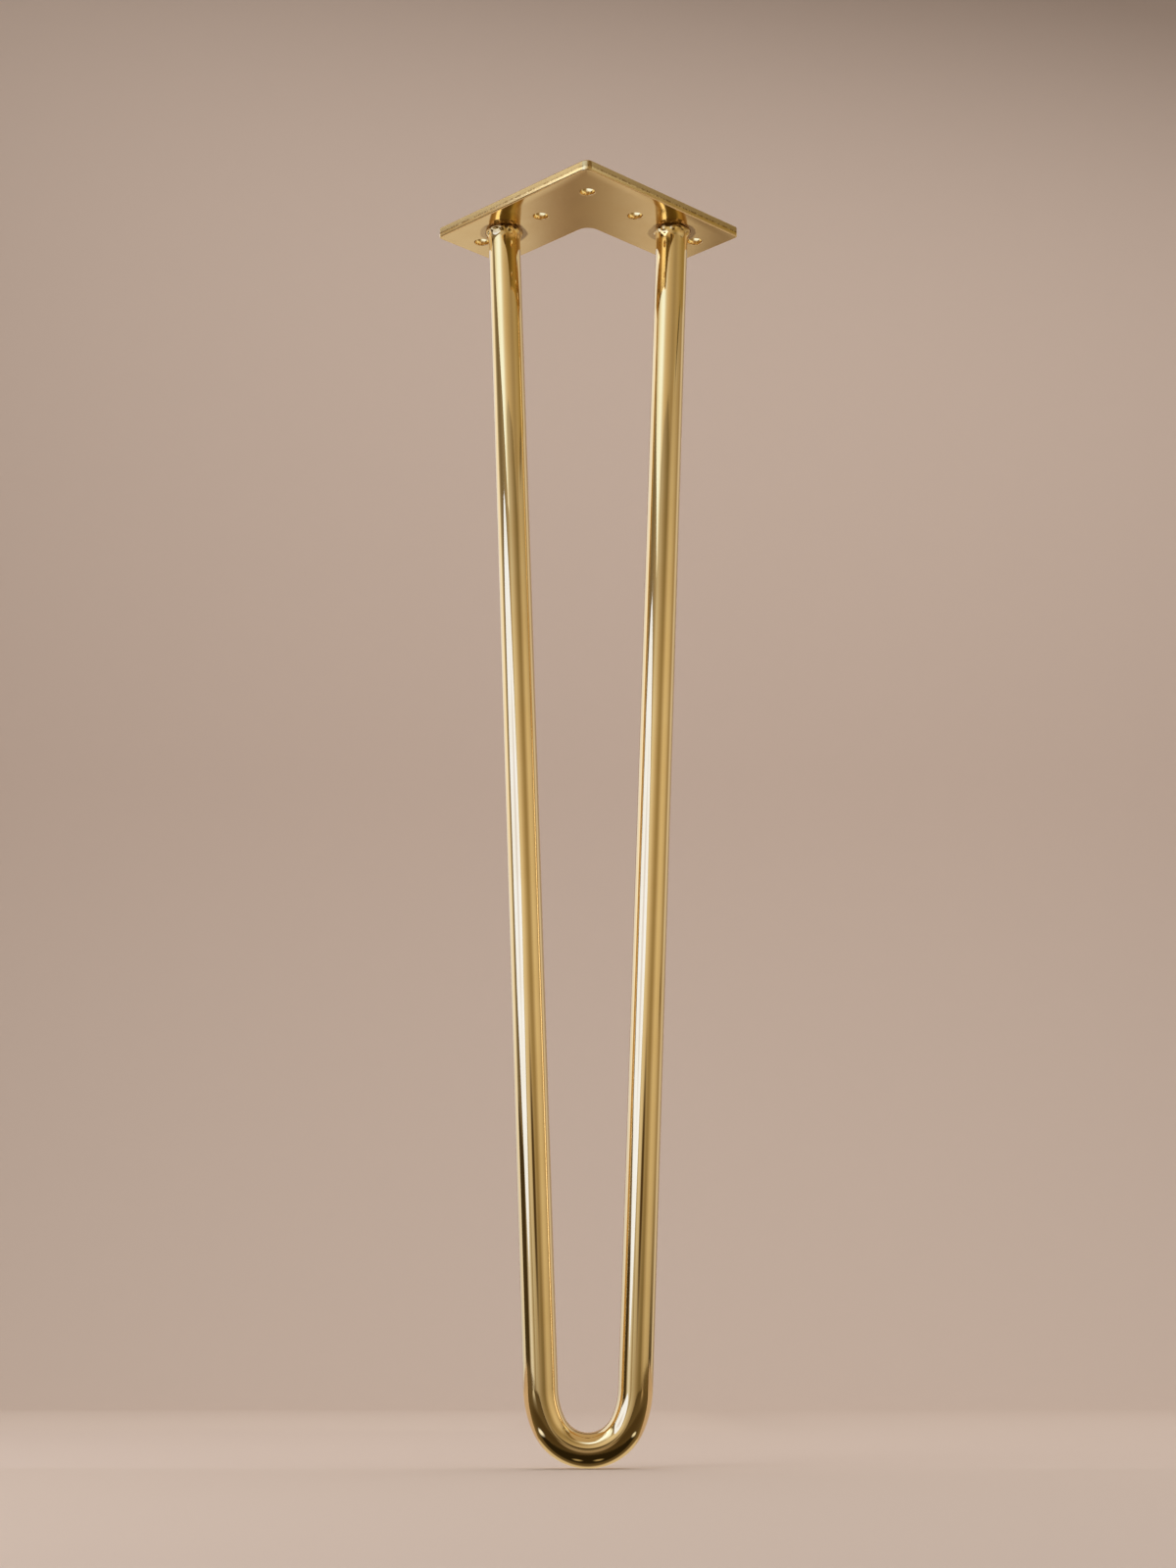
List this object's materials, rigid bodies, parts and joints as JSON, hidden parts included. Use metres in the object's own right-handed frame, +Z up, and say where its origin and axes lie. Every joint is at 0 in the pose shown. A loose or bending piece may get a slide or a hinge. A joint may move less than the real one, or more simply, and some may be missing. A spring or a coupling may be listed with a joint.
{
  "type": "hairpin table leg",
  "caption": "Furniture leg of one round bar bent to a narrow U, welded under a flat L-shaped corner plate with screw holes.",
  "frame": {"origin": "on the plate's top face, where the centre lines of its two arms cross", "axes": "+Z up, out of the plate's top face towards the table; -Y towards the plate's outer corner; X from bar to bar, with the leg the same on both sides of X = 0"},
  "size_m": [0.1134, 0.0793, 0.457],
  "materials": {
    "plate_gold": "satin light gold plating on steel",
    "rod_gold": "mirror polished light gold plating on steel",
    "weld_gold": "as welded, under the same light gold plating"
  },
  "bodies": {
    "root": {"mounting_plate": "plate_gold", "hairpin_rod": "rod_gold", "weld_bead_left": "weld_gold", "weld_bead_right": "weld_gold"}
  },
  "joints": []
}
